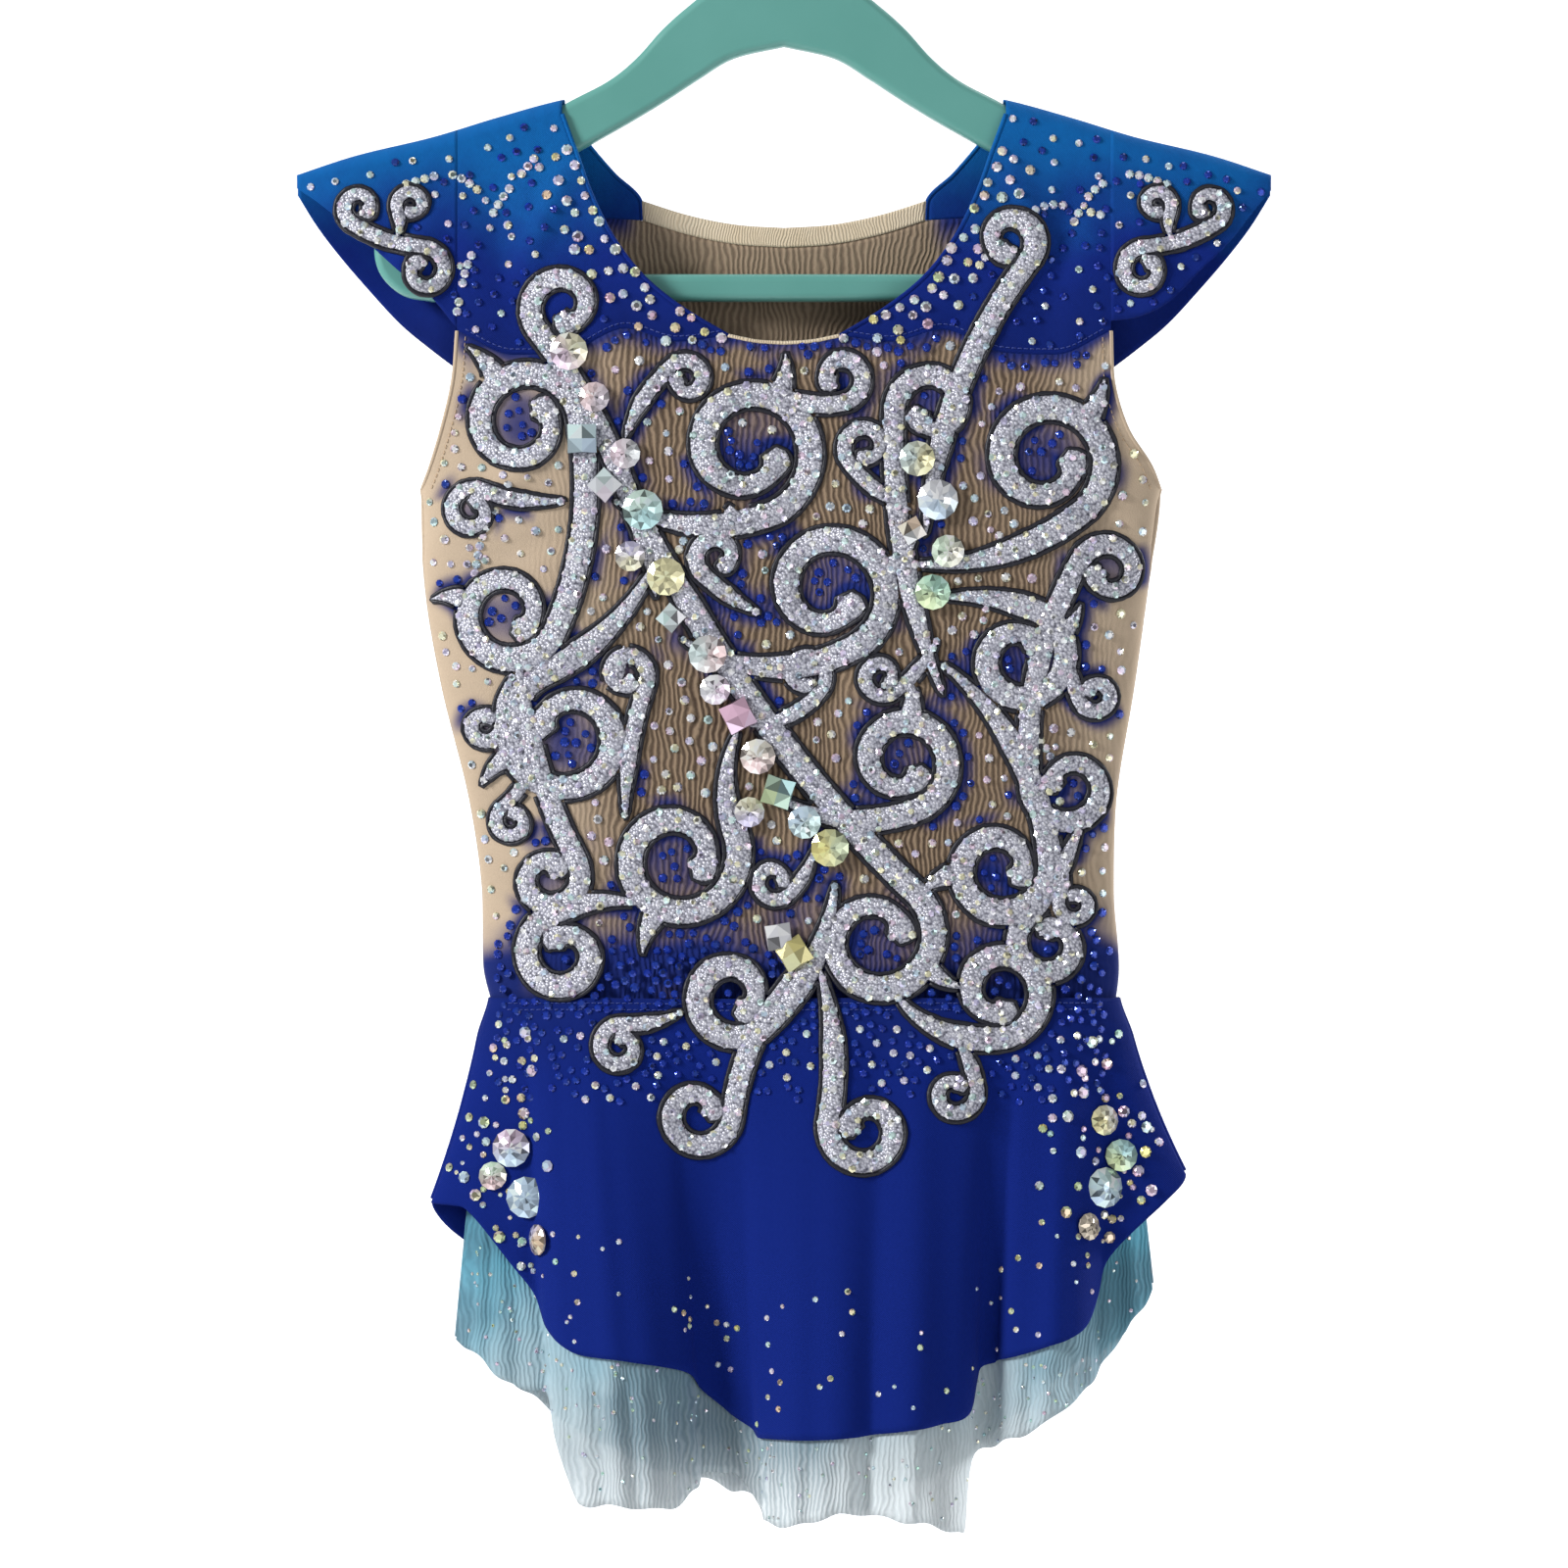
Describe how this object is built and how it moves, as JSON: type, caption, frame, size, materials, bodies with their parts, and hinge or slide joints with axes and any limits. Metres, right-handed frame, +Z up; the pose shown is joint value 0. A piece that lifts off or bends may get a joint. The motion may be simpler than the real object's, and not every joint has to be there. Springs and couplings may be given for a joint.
{
  "type": "gymnastics leotard on a hanger",
  "caption": "Long-waisted leotard with cap sleeves, a two-layer skirt and raised stone scrolls, hung on a one-piece plastic hanger.",
  "frame": {"origin": "inside the top of the hanger's hook, where a rod carries it", "axes": "+Z up, -Y out of the wearer's front, -X towards the wearer's right"},
  "size_m": [0.3828, 0.0792, 0.6714],
  "materials": {
    "nude_mesh": "matt stretch mesh with a fine rib down its length",
    "golden_band": "folded stretch mesh with a soft sheen",
    "blue_jersey": "soft stretch jersey, sprayed from azure to royal blue",
    "sheer_net": "sheer stretch net with a raw edge",
    "stones": "foiled glass stones close together on a backing",
    "hanger_plastic": "smooth moulded plastic"
  },
  "bodies": {
    "root": {"hanger": "hanger_plastic", "front_body": "nude_mesh", "back_body": "nude_mesh", "neck_band_back": "golden_band", "yoke_front_right": "blue_jersey", "yoke_back_right": "blue_jersey", "sleeve_right": "blue_jersey", "applique_sleeve_right": "stones", "yoke_front_left": "blue_jersey", "yoke_back_left": "blue_jersey", "sleeve_left": "blue_jersey", "applique_sleeve_left": "stones", "brief_front": "blue_jersey", "skirt_under_front": "sheer_net", "skirt_over_front": "blue_jersey", "brief_back": "blue_jersey", "skirt_under_back": "sheer_net", "skirt_over_back": "blue_jersey", "applique_front": "stones"}
  },
  "joints": []
}
